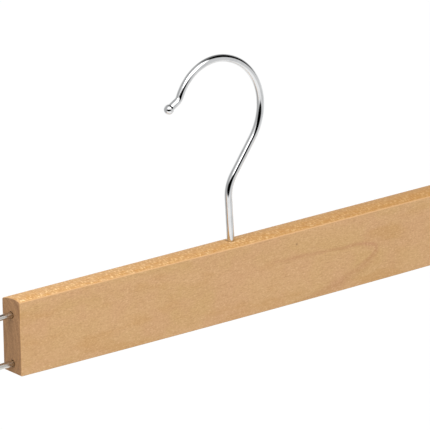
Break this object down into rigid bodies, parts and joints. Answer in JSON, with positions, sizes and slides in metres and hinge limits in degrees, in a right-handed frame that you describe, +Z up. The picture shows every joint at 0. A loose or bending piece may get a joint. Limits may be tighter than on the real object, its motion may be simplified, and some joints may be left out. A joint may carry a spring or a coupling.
{
  "type": "trouser hanger",
  "caption": "Trouser hanger: a wooden bar that swivels on a bent wire hook, with sprung clips that slide on U-shaped wire rails at its ends.",
  "frame": {"origin": "hang point: the inner side of the hook's bow, straight above the stem that the bar turns on", "axes": "+X along the bar, +Y from the front to the back, through the bar's thickness, +Z up"},
  "size_m": [0.39, 0.0194, 0.146],
  "materials": {
    "bar_wood": "clear satin lacquer on pale beech",
    "hook_chrome": "bright chrome on steel wire",
    "washer_steel": "zinc plated",
    "rail_steel": "bright nickel on steel wire",
    "clip_steel": "bright nickel on stamped sheet steel",
    "spring_steel": "nickelled spring wire",
    "grip_pad": "matt moulded soft vinyl with ribs"
  },
  "bodies": {
    "hook": {"hook": "hook_chrome", "hook_washer": "washer_steel"},
    "bar": {"wooden_bar": "bar_wood", "left_rail": "rail_steel", "right_rail": "rail_steel"},
    "left_slider": {"left_pivot_tube": "clip_steel"},
    "left_back_half": {"left_back_jaw": "clip_steel", "left_back_pad": "grip_pad", "left_spring": "spring_steel"},
    "left_front_half": {"left_front_jaw": "clip_steel", "left_front_pad": "grip_pad"},
    "right_slider": {"right_pivot_tube": "clip_steel"},
    "right_back_half": {"right_back_jaw": "clip_steel", "right_back_pad": "grip_pad", "right_spring": "spring_steel"},
    "right_front_half": {"right_front_jaw": "clip_steel", "right_front_pad": "grip_pad"}
  },
  "joints": [
    {"name": "bar_swivel", "type": "hinge", "parent": "hook", "child": "bar", "pos_m": [0, 0, -0.1], "axis": [0, 0, 1], "continuous": true},
    {"name": "left_clip_slide", "type": "slide", "parent": "bar", "child": "left_slider", "axis": [1, 0, 0], "range_m": [-0.0085, 0.021]},
    {"name": "left_clip_swing", "type": "hinge", "parent": "left_slider", "child": "left_back_half", "pos_m": [-0.163, 0, -0.11701], "axis": [1, 0, 0], "range_deg": [-120, 120]},
    {"name": "left_clip_open", "type": "hinge", "parent": "left_back_half", "child": "left_front_half", "pos_m": [-0.163, 0, -0.11701], "axis": [-1, 0, 0], "range_deg": [0, 45], "stiffness_Nm_per_rad": 0.15, "springref_deg": -28.65, "deforming": ["left_spring"]},
    {"name": "right_clip_slide", "type": "slide", "parent": "bar", "child": "right_slider", "axis": [1, 0, 0], "range_m": [-0.021, 0.0085]},
    {"name": "right_clip_swing", "type": "hinge", "parent": "right_slider", "child": "right_back_half", "pos_m": [0.163, 0, -0.11701], "axis": [1, 0, 0], "range_deg": [-120, 120]},
    {"name": "right_clip_open", "type": "hinge", "parent": "right_back_half", "child": "right_front_half", "pos_m": [0.163, 0, -0.11701], "axis": [-1, 0, 0], "range_deg": [0, 45], "stiffness_Nm_per_rad": 0.15, "springref_deg": -28.65, "deforming": ["right_spring"]}
  ]
}
